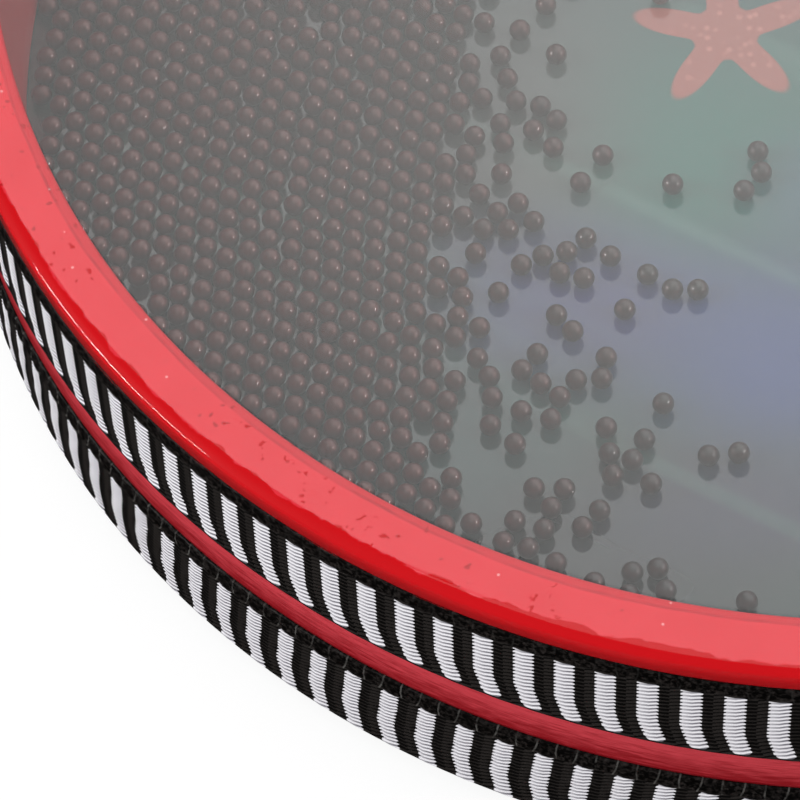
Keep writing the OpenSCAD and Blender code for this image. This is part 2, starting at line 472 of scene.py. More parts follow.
@dataclass(frozen=True)
class RedEnamel:
    """Red enamel brushed on bent plywood: saturated, satin, with the wood's long grain showing through.

    Under the flat of the film it stays dry and even. Glue has run in lobes along the fold and a thin line
    of it has dried near the bore, and both read as darker, wetter red. The fold's steep wall is painted a
    deeper red as painted shade, the bare strip is painted darker towards the lower braid as painted shade,
    and tiny bubbles in the glue are painted pale, partly as painted glints off them.
    """

    dry: str = "#EA3642"
    wet: str = "#CC0A14"
    # Deep red of glue specks, and painted shade on the fold's steep wall.
    fold: str = "#B80610"
    glue: str = "#B41C28"
    strip_light: str = "#C23A44"
    # Dark of the strip's grain, and painted shade towards the lower braid.
    strip_dark: str = "#880C16"
    # Pale pink of bubbles in the glue, partly a painted glint off them.
    bubble_glint: str = "#F6B4B4"

    def build(self, sizes: DrumSizes) -> Material:
        """Makes the material.

        Args:
            sizes: Sizes of the drum, which place the glue lines.

        Returns:
            The material.
        """
        material, tree = new_material("red enamel on bent wood")
        place = ring_place(tree)
        colour = self._top_colour(place, sizes)
        on_side = put(tree, "MapRange", place.radius, sizes.hoop_r - 0.5 * MM, sizes.hoop_r - 0.3 * MM)
        low = put(tree, "MapRange", place.z, 42 * MM, 44 * MM, 1.0, 0.0)
        on_strip = put(tree, "Math.MULTIPLY", on_side, low)
        strip = self._strip_colour(place, sizes)
        colour = put(tree, "Mix", named={0: on_strip, 6: colour, 7: strip}, out=2, data_type="RGBA")
        shader = put(
            tree,
            "BsdfPrincipled",
            named={
                "Base Color": colour,
                "Roughness": 0.42,
                "IOR": 1.48,
                "Specular IOR Level": 0.08,
                "Normal": self._grain_bump(place),
            },
        )
        put(tree, "OutputMaterial", shader)
        return material

    def _top_colour(self, place: Place, sizes: DrumSizes) -> Socket:
        """Colours the rim under the film, with painted shade on the fold's steep wall.

        Args:
            place: Where the pattern lies, with the material's nodes.
            sizes: Sizes of the drum.

        Returns:
            The colour's socket.
        """
        tree = place.tree
        wander = put(tree, "TexNoise", place.point, named={"Scale": 46.0, "Detail": 3.0})
        radius = put(tree, "Math.MULTIPLY_ADD", wander, 1.2 * MM, place.radius)
        line_r = sizes.bore_r + 2.1 * MM
        off = put(tree, "Math.SUBTRACT", radius, line_r)
        off = put(tree, "Math.ABSOLUTE", off)
        line = put(tree, "MapRange.SMOOTHSTEP", off, 0.12 * MM, 0.42 * MM, 1.0, 0.0)
        broken = put(tree, "TexNoise", place.point, named={"Scale": 260.0, "Detail": 2.0})
        line = put(tree, "Math.MULTIPLY", line, broken, 1.5)
        inside = put(tree, "MapRange", radius, line_r - 0.2 * MM, line_r + 0.1 * MM, 0.3, 0.0)
        veil = put(tree, "Math.MAXIMUM", line, inside)
        mottle = put(tree, "TexNoise", place.point, named={"Scale": 120.0, "Detail": 3.0})
        mottle = put(tree, "MapRange", mottle, 0.35, 0.7, 0.0, 0.16)
        layers = [
            (mottle, self.wet),
            (veil, self.glue),
            (self._specks(place, 620.0, 0.685), self.fold),
            # Tiny bubbles in the glue, painted pale, partly as painted glints.
            (self._bubble_glints(place), self.bubble_glint),
            (wet_edge(place, sizes.wet_r), self.wet),
            # Painted shade: the fold's steep wall is painted a deeper red, darker the lower it runs.
            (put(tree, "MapRange", place.z, sizes.drum_h - 2.2 * MM, sizes.drum_h - 4.6 * MM), self.fold),
        ]
        return layered(tree, self.dry, layers)

    def _specks(self, place: Place, scale: float, level: float) -> Socket:
        """Masks small irregular spots where glue touched the film, a millimetre or less across.

        Args:
            place: Where the pattern lies, with the material's nodes.
            scale: Spots per metre.
            level: How much of the noise stays clear.

        Returns:
            The mask.
        """
        tree = place.tree
        spots = put(tree, "TexNoise", place.point, named={"Scale": scale, "Detail": 1.0})
        spread = put(tree, "TexNoise", place.point, named={"Scale": 34.0, "Detail": 0.0})
        both = put(tree, "Math.MULTIPLY_ADD", spread, 0.22, spots)
        return put(tree, "MapRange.SMOOTHSTEP", both, level + 0.14, level + 0.17, 0.0, 0.8)

    def _bubble_glints(self, place: Place) -> Socket:
        """Masks tiny bubbles in the glue, a few tenths of a millimetre across and sparse, painted pale partly
        as glints.
        """
        tree = place.tree
        cells = put(tree, "TexVoronoi", place.point, named={"Scale": 190.0}, out="Distance")
        return put(tree, "MapRange.SMOOTHSTEP", cells, 0.03, 0.06, 0.7, 0.0)

    def _strip_colour(self, place: Place, sizes: DrumSizes) -> Socket:
        """Colours the bare strip between the braids, with grain 0.4 mm wide and 15 mm long, painted darker
        towards the lower braid as painted shade.

        Args:
            place: Where the pattern lies, with the material's nodes.
            sizes: Sizes of the drum.

        Returns:
            The colour's socket.
        """
        tree = place.tree
        along = put(tree, "VectorMath.MULTIPLY", place.point, (240.0, 240.0, 2300.0))
        grain = put(tree, "TexNoise", along, named={"Scale": 1.0, "Detail": 3.0, "Roughness": 0.6})
        edge = sizes.shoulder_h + sizes.braid_w
        # Painted shade: the strip is painted darker towards the lower braid.
        depth = put(tree, "MapRange", place.z, sizes.drum_h - edge - 2.5 * MM, edge - 1.0 * MM)
        mix = put(tree, "Math.MULTIPLY_ADD", depth, -0.45, grain)
        mix = put(tree, "MapRange.SMOOTHSTEP", mix, 0.0, 0.6)
        named = {0: mix, 6: linear(self.strip_dark), 7: linear(self.strip_light)}
        return put(tree, "Mix", named=named, out=2, data_type="RGBA")

    def _grain_bump(self, place: Place) -> Socket:
        """Raises the grain by a few hundredths of a millimetre."""
        tree = place.tree
        along = put(tree, "VectorMath.MULTIPLY", place.point, (120.0, 120.0, 2300.0))
        grain = put(tree, "TexNoise", along, named={"Scale": 1.0, "Detail": 3.0, "Roughness": 0.65})
        return put(
            tree, "Bump", named={"Strength": 0.5, "Distance": 0.06 * MM, "Height": grain}, out="Normal"
        )


@dataclass(frozen=True)
class ClearPolyester:
    """Clear polyester film, cast and stretched: see-through, with a sharp even gloss off both of its faces.

    The gloss lays a thin pale veil over all that lies under it, and a faint bloom of dust off the shot
    thickens it towards the middle. Where glue has wetted the under side onto the wood that face gives no
    gloss, and the red below reads deep.
    """

    ior: float = 1.5
    roughness: float = 0.035
    dust: str = "#D8D8D4"
    bloom: float = 0.165
    rim_bloom: float = 0.055

    def build(self, sizes: DrumSizes, under_side: bool) -> Material:
        """Makes the material for one face of the film.

        Args:
            sizes: Sizes of the drum, which place the glue line.
            under_side: True for the face towards the hoop.

        Returns:
            The material.
        """
        name = "clear polyester film under side" if under_side else "clear polyester film"
        material, tree = new_material(name)
        place = ring_place(tree)
        clear = put(tree, "BsdfTransparent", (1.0, 1.0, 1.0, 1.0))
        gloss = put(tree, "BsdfGlossy", (1.0, 1.0, 1.0, 1.0), self.roughness)
        behind = put(tree, "NewGeometry", out="Backfacing")
        ior = put(tree, "MapRange", behind, 0.0, 1.0, self.ior, 1 / self.ior)
        share = put(tree, "Fresnel", ior)
        if under_side:
            wet = wet_edge(place, sizes.wet_r)
            dry = put(tree, "Math.SUBTRACT", 1.0, wet)
            share = put(tree, "Math.MULTIPLY", share, dry)
        shader = put(tree, "MixShader", share, clear, gloss)
        if not under_side:
            matt = put(tree, "BsdfDiffuse", linear(self.dust))
            out = put(tree, "Math.MULTIPLY", place.radius, 1 / sizes.bore_r)
            bloom = put(tree, "Math.MULTIPLY", out, out)
            bloom = put(tree, "MapRange", bloom, 0.0, 1.0, self.bloom, self.rim_bloom)
            free = put(tree, "Math.LESS_THAN", out, 1.0)
            bloom = put(tree, "Math.MULTIPLY", bloom, free)
            share = put(tree, "Math.MAXIMUM", self._dust(place), bloom)
            shader = put(tree, "MixShader", share, shader, matt)
        put(tree, "OutputMaterial", shader)
        return material

    def _dust(self, place: Place) -> Socket:
        """Masks sparse specks of dust, about a quarter of a millimetre across."""
        tree = place.tree
        cells = put(tree, "TexVoronoi", place.point, named={"Scale": 95.0}, out="Distance").node
        speck = put(tree, "MapRange", cells.outputs["Distance"], 0.012, 0.026, 1.0, 0.0)
        few = put(tree, "SeparateColor", cells.outputs["Color"])
        few = put(tree, "MapRange", few, 0.55, 0.9, 0.0, 0.3)
        return put(tree, "Math.MULTIPLY", speck, few)


@dataclass(frozen=True)
class BurnishedSteel:
    """Tumbled carbon steel shot: dark, a little brown and satin, with two small glints on each ball."""

    grey: str = "#52504F"
    brown: str = "#704844"

    def build(self) -> Material:
        """Makes the material, browner towards the left, over the heap, and greyer to the right, where the
        balls lie loose.
        """
        material, tree = new_material("burnished steel shot")
        place = ring_place(tree)
        tone = put(tree, "TexNoise", place.point, named={"Scale": 160.0, "Detail": 2.0})
        tone = put(tree, "Math.MULTIPLY_ADD", tone, 60 * MM, place.x)
        tone = put(tree, "MapRange", tone, -45 * MM, 0.0)
        named = {0: tone, 6: linear(self.brown), 7: linear(self.grey)}
        shader = put(
            tree,
            "BsdfPrincipled",
            named={
                "Base Color": put(tree, "Mix", named=named, out=2, data_type="RGBA"),
                "Metallic": 1.0,
                "Roughness": 0.5,
                "Coat Weight": 0.8,
                "Coat Roughness": 0.09,
            },
        )
        put(tree, "OutputMaterial", shader)
        return material


@dataclass(frozen=True)
class Wash:
    """A soft patch of colour in the printed sea.

    Attributes:
        x, y: Its middle, as shares of the head's radius.
        across, along: Its half widths, as shares too.
        turn: Its turn in degrees.
        colour: Its colour.
        strength: How much of it shows in its middle.
    """

    x: float
    y: float
    across: float
    along: float
    turn: float
    colour: str
    strength: float = 1.0


class Sea(Enum):
    """What a printed motif shows."""

    STAR = "starfish"
    SHELL = "scallop shell"


@dataclass(frozen=True)
class Motif:
    """A printed starfish or shell.

    Attributes:
        kind: What it shows.
        x, y: Its middle, as shares of the head's radius.
        size: Its radius, as a share too.
        turn: Its turn in degrees.
        colour: Its main colour.
        shade: Its darker colour.
    """

    kind: Sea
    x: float
    y: float
    size: float
    turn: float
    colour: str
    shade: str


@dataclass(frozen=True)
class PrintedPolyester:
    """Polyester film with a printed sea on it: very glossy, so that each ball stands on its own dark image.

    The design is a generic one: blurred washes of sea colour, light rays, starfish and scallop shells.
    """

    deep: str = "#2E5250"
    ray: str = "#6C9C8E"
    washes: tuple[Wash, ...] = (
        Wash(-0.20, -0.12, 0.30, 0.22, 20, "#1E6C60"),
        Wash(-0.44, -0.12, 0.20, 0.36, 0, "#5C5E5C", 0.8),
        Wash(-0.32, -0.34, 0.26, 0.14, -8, "#4A5080"),
        Wash(-0.08, -0.42, 0.20, 0.18, 0, "#364E88"),
        Wash(-0.02, -0.18, 0.14, 0.12, 0, "#406478", 0.8),
        Wash(-0.30, -0.70, 0.40, 0.20, 14, "#2C2E30", 0.85),
        Wash(-0.10, -0.62, 0.24, 0.10, 6, "#343A5A", 0.7),
        Wash(-0.80, 0.0, 0.34, 0.95, 0, "#453436", 0.9),
        Wash(0.40, 0.30, 0.50, 0.40, 30, "#387478"),
        Wash(0.55, -0.40, 0.40, 0.36, -20, "#2C5492"),
        Wash(0.10, 0.62, 0.50, 0.26, 8, "#508C7C"),
    )
    motifs: tuple[Motif, ...] = (
        Motif(Sea.STAR, -0.17, 0.055, 0.115, 24, "#D88474", "#A2463C"),
        Motif(Sea.SHELL, -0.02, -0.05, 0.06, 60, "#E6D2CC", "#A8706A"),
        Motif(Sea.STAR, 0.52, -0.12, 0.15, -8, "#D8A070", "#94583A"),
        Motif(Sea.SHELL, 0.30, 0.44, 0.12, 100, "#D89A90", "#8E4C48"),
        Motif(Sea.SHELL, 0.38, -0.60, 0.10, 40, "#DCC8AC", "#927250"),
        Motif(Sea.STAR, -0.22, 0.66, 0.14, 50, "#C87468", "#8A3C36"),
        Motif(Sea.STAR, 0.74, 0.30, 0.08, 15, "#E0C0A0", "#A47850"),
    )

    def build(self, sizes: DrumSizes) -> Material:
        """Makes the material.

        Args:
            sizes: Sizes of the drum; the design is laid out in shares of the balls' rolling radius.

        Returns:
            The material.
        """
        material, tree = new_material("printed polyester film")
        place = ring_place(tree)
        plan = put(
            tree,
            "VectorMath.SCALE",
            put(tree, "CombineXYZ", place.x, place.y, 0.0),
            named={"Scale": 1 / sizes.roll_r},
            
        )
        layers = [(self._wash_mask(tree, plan, wash), wash.colour) for wash in self.washes]
        layers.append((self._ray_mask(tree, plan), self.ray))
        layers += [self._drawn(tree, plan, motif) for motif in self.motifs]
        shader = put(
            tree,
            "BsdfPrincipled",
            named={
                "Base Color": layered(tree, self.deep, layers),
                "Roughness": 0.07,
                "IOR": 1.6,
                "Specular IOR Level": 0.8,
                "Coat Weight": 0.4,
                "Coat Roughness": 0.04,
            },
        )
        put(tree, "OutputMaterial", shader)
        return material

    def _within(
        self,
        tree: Tree,
        plan: Socket,
        middle: tuple[float, float],
        turn: float,
        half: tuple[float, float],
    ) -> Socket:
        """Gives the place within one patch of the print, 1 away from its middle at its edge.

        Args:
            tree: The material's nodes.
            plan: Place on the head, in shares of its radius.
            middle: The patch's middle, in shares.
            turn: Its turn in degrees.
            half: Its half widths, in shares.

        Returns:
            The place's socket.
        """
        return put(
            tree,
            "Mapping",
            plan,
            (*middle, 0.0),
            (0.0, 0.0, math.radians(turn)),
            (*half, 1.0),
            vector_type="TEXTURE",
        )

    def _wash_mask(self, tree: Tree, plan: Socket, wash: Wash) -> Socket:
        """Masks one soft patch of colour.

        Args:
            tree: The material's nodes.
            plan: Place on the head, in shares.
            wash: The patch.

        Returns:
            The mask.
        """
        local = self._within(tree, plan, (wash.x, wash.y), wash.turn, (wash.across, wash.along))
        far = put(tree, "VectorMath.LENGTH", local, out="Value")
        return put(tree, "MapRange.SMOOTHERSTEP", far, 0.0, 1.35, wash.strength, 0.0)

    def _ray_mask(self, tree: Tree, plan: Socket) -> Socket:
        """Masks faint slanting rays of light through the water."""
        local = self._within(tree, plan, (0.0, 0.0), -28, (1.6, 0.09))
        streaks = put(tree, "TexNoise", local, named={"Scale": 1.0, "Detail": 2.0})
        return put(tree, "MapRange.SMOOTHSTEP", streaks, 0.52, 0.78, 0.0, 0.5)

    def _drawn(self, tree: Tree, plan: Socket, motif: Motif) -> tuple[Socket, Socket]:
        """Draws one motif.

        Args:
            tree: The material's nodes.
            plan: Place on the head, in shares.
            motif: The motif.

        Returns:
            Its mask and its colour.
        """
        local = self._within(tree, plan, (motif.x, motif.y), motif.turn, (motif.size, motif.size))
        parts = put(tree, "SeparateXYZ", local).node.outputs
        far = put(tree, "VectorMath.LENGTH", local, out="Value")
        angle = put(tree, "Math.ARCTAN2", parts["Y"], parts["X"])
        folds = 5.0 if motif.kind is Sea.STAR else 15.0
        wave = put(tree, "Math.COSINE", put(tree, "Math.MULTIPLY", angle, folds))
        if motif.kind is Sea.STAR:
            reach = put(tree, "MapRange", wave, -1.0, 1.0)
            reach = put(tree, "Math.POWER", reach, 1.7)
            reach = put(tree, "Math.MULTIPLY_ADD", reach, 0.64, 0.36)
            dots = put(tree, "TexVoronoi", local, named={"Scale": 9.0}, out="Distance")
            tone = put(tree, "MapRange", dots, 0.12, 0.42)
        else:
            reach = put(tree, "Math.ABSOLUTE", angle)
            reach = put(tree, "MapRange.SMOOTHSTEP", reach, 1.05, 1.4, 0.92, 0.14)
            reach = put(tree, "Math.MULTIPLY_ADD", wave, 0.035, reach)
            tone = put(tree, "MapRange", wave, 0.6, -0.9)
        edge = put(tree, "Math.DIVIDE", far, reach)
        rim = put(tree, "MapRange", edge, 0.55, 1.0, 0.0, 0.75)
        tone = put(tree, "Math.MULTIPLY", tone, 0.6)
        tone = put(tree, "Math.MAXIMUM", tone, rim)
        inside = put(tree, "MapRange.SMOOTHSTEP", edge, 0.94, 1.04, 0.9, 0.0)
        named = {0: tone, 6: linear(motif.colour), 7: linear(motif.shade)}
        return inside, put(tree, "Mix", named=named, out=2, data_type="RGBA")


@dataclass(frozen=True)
class WovenRayon:
    """Flat braid of glossy rayon: white blocks and black blocks of close ribs between black selvedges.

    Each block's ribs end in a small step, so its edges are serrated, and the ribs shine like silk, partly
    through painted highlights: the rib tops over black and the left side of each white block are painted
    lighter, and the grooves between ribs are painted in a shade colour.
    """

    white: str = "#F0EEF3"
    shade: str = "#7A7880"
    black: str = "#0C0A09"
    black_sheen: str = "#2A2624"
    hem: str = "#080504"
    hem_sheen: str = "#2C2725"
    # Painted highlight on the loops of black thread in the upper selvedge.
    loop_highlight: str = "#5E5C59"

    def build(self, weave: "Weave") -> Material:
        """Makes the material for one braid.

        Args:
            weave: The braid's weave, which places the stripes.

        Returns:
            The material.
        """
        material, tree = new_material(f"woven rayon braid {weave.side.value}")
        place = ring_place(tree)
        across = put(tree, "MapRange", place.z, weave.high, weave.high - weave.width)
        rib = weave.rib_wave(place, across)
        # Painted light: the left side of each white block is painted brighter, as the left lamp falls on it;
        # the grooves between ribs are painted in the shade colour.
        lit = put(tree, "MapRange", weave.phase_node(place, across), -0.22, 0.1, 0.5, 0.0)
        bright = put(tree, "Math.MAXIMUM", rib, lit)
        named = {0: bright, 6: linear(self.shade), 7: linear(self.white)}
        white = put(tree, "Mix", named=named, out=2, data_type="RGBA")
        knit = put(tree, "TexNoise", place.point, named={"Scale": 1300.0, "Detail": 2.0, "Roughness": 0.6})
        knit = put(tree, "MapRange", knit, 0.46, 0.7)
        named = {0: knit, 6: linear(self.hem), 7: linear(self.hem_sheen)}
        hem = put(tree, "Mix", named=named, out=2, data_type="RGBA")
        on_hem = put(tree, "MapRange", across, weave.head - 0.012, weave.head - 0.03)
        layers = [
            # Painted sheen: the tops of the ribs over black are painted lighter.
            (rib, self.black_sheen),
            (on_hem, hem),
            # Painted highlights on the loops of black thread in the upper selvedge.
            (weave.loop_highlight_mask(place, across), self.loop_highlight),
            (weave.stripe_mask(place, across), white),
        ]
        colour = layered(tree, self.black, layers)
        fibres = put(tree, "VectorMath.MULTIPLY", place.point, (900.0, 900.0, 5200.0))
        fibres = put(tree, "TexNoise", fibres, named={"Scale": 1.0, "Detail": 2.0})
        bump = put(
            tree,
            "Bump",
            named={"Strength": 0.5, "Distance": 0.05 * MM, "Height": fibres},
            out="Normal",
        )
        shader = put(
            tree,
            "BsdfPrincipled",
            named={
                "Base Color": colour,
                "Roughness": 0.45,
                "IOR": 1.52,
                "Specular IOR Level": 0.15,
                "Normal": bump,
            },
        )
        put(tree, "OutputMaterial", shader)
        return material


@dataclass(frozen=True)
class Weave:
    """The weave of one braid: where its blocks lie, how they lean, and how its ribs run.

    Attributes:
        side: The head that the braid belongs to.
        lean: How its blocks lie.
        high: Height of its upper selvedge.
        width: Its width.
        first: Azimuth of one white block's middle, in degrees.
        head, foot: Where the white blocks start and end, as shares of the width from the top.
        white_share: Share of a block's pitch that is white.
        loop_highlight_share: How clearly the painted highlights on the loops of its upper selvedge show.
        blocks: White blocks round the drum.
        ribs: Ribs across its width.
        wander: How its blocks wander: waves round the drum, each with its swing in shares of the pitch.
        bend_low, bend_high: Shares of the width where the lower bend starts and the upper one ends.
        bend_power: How fast the lower bend sets in.
        slope, black_slope: Rise of a rib from a block's middle to its side, in ribs, on white and on black.
        end_share: Share of the width over which the relief runs out at a selvedge.
        block_deep, rib_deep: Depth of the grooves between blocks and between ribs.
        hem_deep, loop_deep: Depth of the upper selvedge and of the gaps between its loops.
    """

    side: Side
    lean: Lean
    high: float
    width: float
    first: float
    head: float
    foot: float
    white_share: float
    loop_highlight_share: float
    blocks: int = 145
    ribs: float = 20.0
    wander: tuple[tuple[float, float], ...] = ((17.0, 0.02), (41.0, 0.008))
    bend_low: float = 0.66
    bend_high: float = 0.68
    bend_power: float = 1.2
    slope: float = 0.42
    black_slope: float = 0.3
    end_share: float = 0.05
    block_deep: float = 0.28 * MM
    rib_deep: float = 0.15 * MM
    hem_deep: float = 0.22 * MM
    loop_deep: float = 0.2 * MM

    def shift(self, t: np.ndarray) -> np.ndarray:
        """Sideways shift of a block over the braid's width.

        Args:
            t: Place across the width, 0 at the upper selvedge and 1 at the lower.

        Returns:
            The shift, as a share of the pitch.
        """
        low = np.clip((t - self.bend_low) / (1 - self.bend_low), 0, 1)
        high = np.clip(1 - t / self.bend_high, 0, 1)
        at_head, at_foot = self.lean.value
        return at_head * high + at_foot * low**self.bend_power

    def phase(self, angle: np.ndarray, t: np.ndarray) -> np.ndarray:
        """Place within a block's pitch, from -0.5 to 0.5, 0 in the middle of a white block."""
        turn = (np.degrees(angle) - self.first) * self.blocks / 360
        wander = sum(share * np.sin(waves * angle) for waves, share in self.wander)
        return np.mod(turn + wander - self.shift(t) + 0.5, 1.0) - 0.5

    def depth(self, angle: np.ndarray, t: np.ndarray) -> np.ndarray:
        """How far the braid's face lies below its highest threads.

        Args:
            angle: Azimuth in radians.
            t: Place across the width.

        Returns:
            The depth in metres.
        """
        phase = self.phase(angle, t)
        half = self.white_share / 2
        white = np.abs(phase) < half
        across = np.where(white, phase / half, (np.abs(phase) - 0.5) * np.sign(phase) / (0.5 - half))
        pillow = 1 - np.abs(across) ** 2.6
        slope = np.where(white, self.slope, self.black_slope)
        wave = 0.5 + 0.5 * np.cos(math.tau * (self.ribs * t + slope * across))
        body = np.clip((t - self.head + self.end_share) / self.end_share, 0, 1)
        turn = (np.degrees(angle) - self.first) * self.blocks / 360
        loops = 0.5 + 0.5 * np.cos(math.tau * (2 * turn - 9.6 * t))
        hem = self.hem_deep + self.loop_deep * (1 - loops)
        face = self.block_deep * (1 - pillow) + self.rib_deep * (1 - wave)
        end = np.clip((1 - t) / self.end_share, 0, 1)
        return hem * (1 - body) + face * body * end

    def _curve(self, tree: Tree, t: Socket) -> Socket:
        """Gives the sideways shift of a block to a material, as shift() gives it to the mesh.

        Args:
            tree: The material's nodes.
            t: Place across the width.

        Returns:
            The shift's socket, as a share of the pitch.
        """
        at_head, at_foot = self.lean.value
        low = put(tree, "MapRange", t, self.bend_low, 1.0)
        low = put(tree, "Math.POWER", low, self.bend_power)
        high = put(tree, "MapRange", t, self.bend_high, 0.0)
        high = put(tree, "Math.MULTIPLY", high, at_head)
        return put(tree, "Math.MULTIPLY_ADD", low, at_foot, high)

    def phase_node(self, place: Place, t: Socket) -> Socket:
        """Gives the place within a block's pitch to a material, from -0.5 to 0.5.

        Args:
            place: Where the pattern lies, with the material's nodes.
            t: Place across the width.

        Returns:
            The phase's socket.
        """
        tree = place.tree
        per_radian = self.blocks / math.tau
        start = -math.radians(self.first) * per_radian
        turn = put(tree, "Math.MULTIPLY_ADD", place.angle, per_radian, start)
        turn = put(tree, "Math.SUBTRACT", turn, self._curve(tree, t))
        for waves, share in self.wander:
            wave = put(tree, "Math.MULTIPLY", place.angle, waves)
            wave = put(tree, "Math.SINE", wave)
            turn = put(tree, "Math.MULTIPLY_ADD", wave, share, turn)
        return put(tree, "Math.WRAP", turn, 0.5, -0.5)

    def rib_wave(self, place: Place, t: Socket) -> Socket:
        """Gives a material the ribs, 1 on a rib and 0 between two.

        Args:
            place: Where the pattern lies, with the material's nodes.
            t: Place across the width.

        Returns:
            The wave's socket.
        """
        tree = place.tree
        phase = self.phase_node(place, t)
        lean = put(tree, "Math.MULTIPLY", phase, self.slope * 2 / self.white_share)
        count = put(tree, "Math.MULTIPLY_ADD", t, self.ribs, lean)
        count = put(tree, "Math.MULTIPLY", count, math.tau)
        wave = put(tree, "Math.COSINE", count)
        return put(tree, "MapRange.SMOOTHSTEP", wave, -0.8, 0.6)

    def loop_highlight_mask(self, place: Place, t: Socket) -> Socket:
        """Masks painted highlights on the thin loops of black thread in the upper selvedge, two over each
        black block.

        Args:
            place: Where the pattern lies, with the material's nodes.
            t: Place across the width.

        Returns:
            The mask, 1 on a loop's painted highlight.
        """
        tree = place.tree
        down = put(tree, "MapRange", t, 0.0, self.head - 0.006)
        wide = put(tree, "Math.POWER", down, 3.0)
        wide = put(tree, "Math.MULTIPLY_ADD", wide, -0.06, 0.26)
        phase = put(tree, "Math.ABSOLUTE", self.phase_node(place, t))
        off = put(tree, "Math.SUBTRACT", 0.5, phase)
        off = put(tree, "Math.SUBTRACT", off, wide)
        off = put(tree, "Math.ABSOLUTE", off)
        line = put(tree, "MapRange.SMOOTHSTEP", off, 0.012, 0.03, 1.0, 0.0)
        broken = put(tree, "TexNoise", place.point, named={"Scale": 500.0, "Detail": 1.0})
        broken = put(tree, "MapRange", broken, 0.3, 0.65, 0.0, self.loop_highlight_share)
        inside = put(tree, "MapRange", down, 0.99, 1.0, broken, 0.0)
        return put(tree, "Math.MULTIPLY", line, inside)

    def stripe_mask(self, place: Place, t: Socket) -> Socket:
        """Masks the white blocks, with serrated sides, a straight head and a rounded foot.

        Args:
            place: Where the pattern lies, with the material's nodes.
            t: Place across the width.

        Returns:
            The mask, 1 on white.
        """
        tree = place.tree
        phase = self.phase_node(place, t)
        off = put(tree, "Math.ABSOLUTE", phase)
        off = put(tree, "Math.MULTIPLY_ADD", self.rib_wave(place, t), -0.05, off)
        half = self.white_share / 2 - 0.045
        sides = put(tree, "MapRange", off, half - 0.012, half + 0.012, 1.0, 0.0)
        head = put(tree, "MapRange", t, self.head - 0.004, self.head + 0.006)
        round_foot = put(tree, "Math.MULTIPLY", phase, 2 / self.white_share)
        round_foot = put(tree, "Math.ABSOLUTE", round_foot)
        round_foot = put(tree, "Math.POWER", round_foot, 4.0)
        foot = put(tree, "Math.MULTIPLY_ADD", round_foot, 0.035, t)
        foot = put(tree, "MapRange", foot, self.foot - 0.004, self.foot + 0.006, 1.0, 0.0)
        mask = put(tree, "Math.MULTIPLY", sides, head)
        return put(tree, "Math.MULTIPLY", mask, foot)


@dataclass
class HoopRing:
    """The bent wooden hoop, painted red, that carries both heads.

    Attributes:
        sizes: Sizes of the drum.
        strip_low, strip_high: Where its bare strip starts and ends, between the braids.
        steps: Steps of its turning.
    """

    sizes: DrumSizes
    strip_low: float
    strip_high: float
    steps: int = 720

    def build(self, finish: Material) -> bpy.types.Object:
        """Turns the hoop.

        Args:
            finish: Its enamel.

        Returns:
            The hoop.
        """
        s = self.sizes
        low = s.head_t + s.glue_t
        high = s.drum_h - low
        lip = s.lip_r - s.lip_t - s.glue_t / 2
        strip = s.hoop_r + s.strip_rise
        step = s.ledge + s.lip_t
        outline = [
            Corner(s.bore_r, low, s.inner_edge_r, 4, 3),
            Corner(s.hoop_r, low, s.edge_r, 8),
            Corner(s.hoop_r, self.strip_low),
            Corner(strip, self.strip_low, 0.0, 1, 12),
            Corner(strip, self.strip_high),
            Corner(s.hoop_r, self.strip_high),
            Corner(s.hoop_r, step),
            Corner(lip, step),
            Corner(lip, high - s.lip_drop, s.lip_round - s.under_round, 6),
            Corner(s.face_r - s.glue_t, high, s.slope_round - s.under_round, 4, 3),
            Corner(s.bore_r, high, s.inner_edge_r / 2, 4, 6),
        ]
        mesh = turned_mesh("red_hoop", outline, self.steps)
        return place_piece(mesh, "drum", "hoop", [finish])


